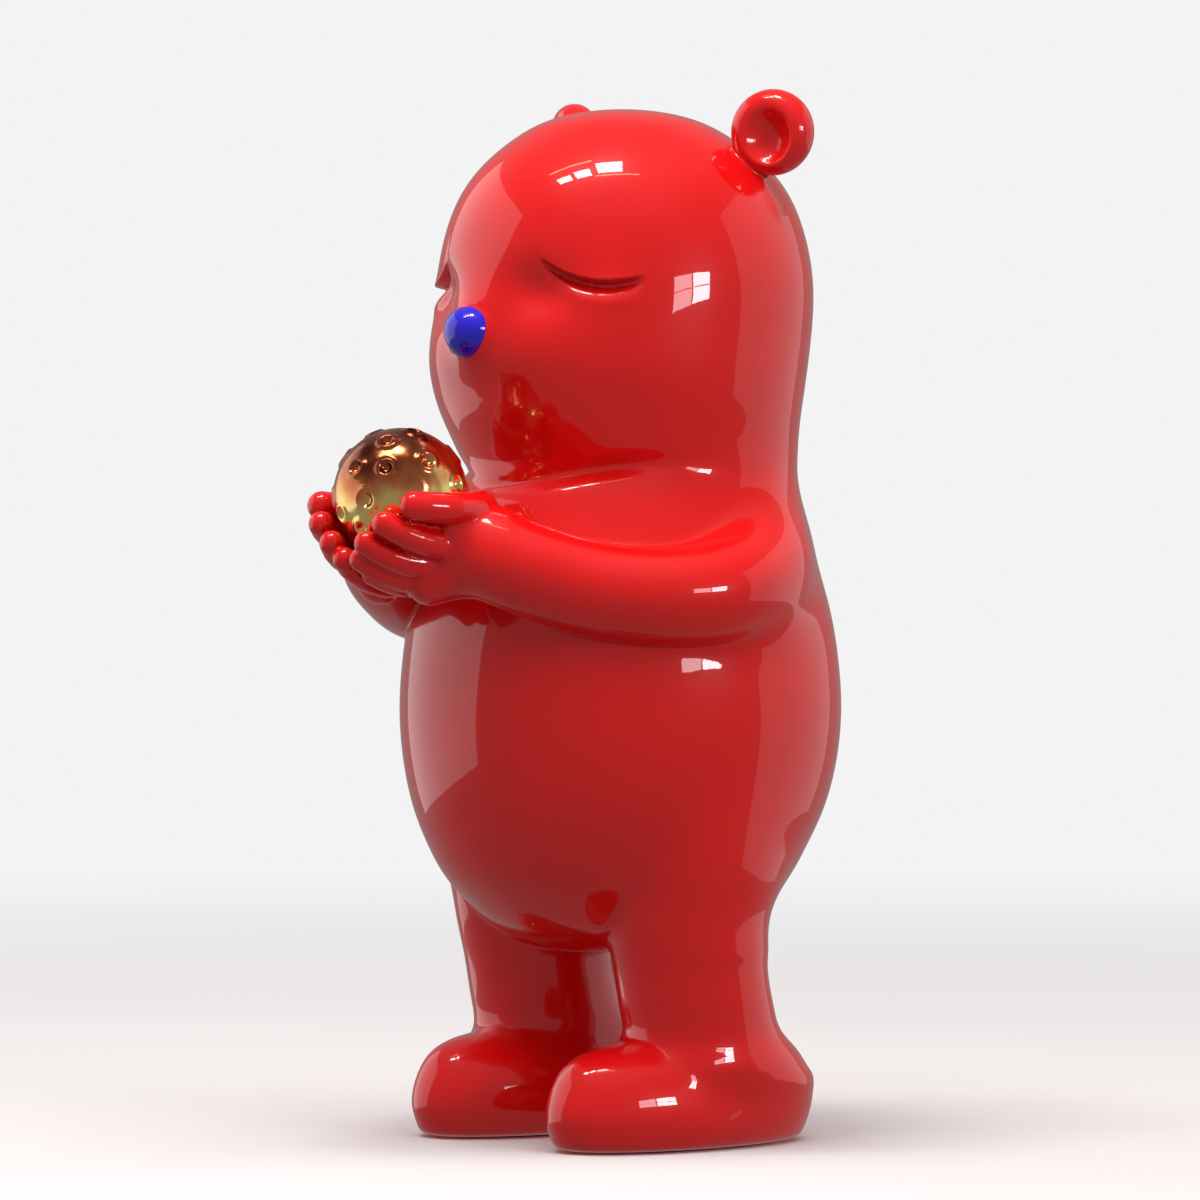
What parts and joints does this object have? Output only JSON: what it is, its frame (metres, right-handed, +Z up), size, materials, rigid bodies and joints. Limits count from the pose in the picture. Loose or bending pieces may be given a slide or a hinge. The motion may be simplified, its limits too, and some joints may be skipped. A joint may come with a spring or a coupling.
{
  "type": "vinyl art toy",
  "caption": "Standing bear figure with closed eyes, a round belly, small round ears and a bead nose, holding a cratered ball in its cupped hands.",
  "frame": {"origin": "on the ground plane, at the middle of the figure's outline seen from above", "axes": "+Z up, the face looks towards -Y, +X is the figure's left side"},
  "size_m": [0.1956, 0.2206, 0.3969],
  "materials": {
    "lacquered_vinyl": "high gloss red lacquer over vinyl",
    "blue_lacquer": "high gloss blue lacquer",
    "gold_plating": "vacuum plated gold over ABS",
    "sole_foam": "matt black foam rubber"
  },
  "bodies": {
    "figure": {"torso_shell": "lacquered_vinyl", "head_shell": "lacquered_vinyl", "left_ear": "lacquered_vinyl", "right_ear": "lacquered_vinyl", "nose": "blue_lacquer", "left_arm": "lacquered_vinyl", "right_arm": "lacquered_vinyl", "left_leg": "lacquered_vinyl", "right_leg": "lacquered_vinyl", "left_sole_pad": "sole_foam", "right_sole_pad": "sole_foam"},
    "ball": {"ball_upper": "gold_plating", "ball_lower": "gold_plating"}
  },
  "joints": [
    {"name": "ball_lift", "type": "slide", "parent": "figure", "child": "ball", "axis": [0, -0.1736, 0.9848], "range_m": [0, 0.07]}
  ]
}
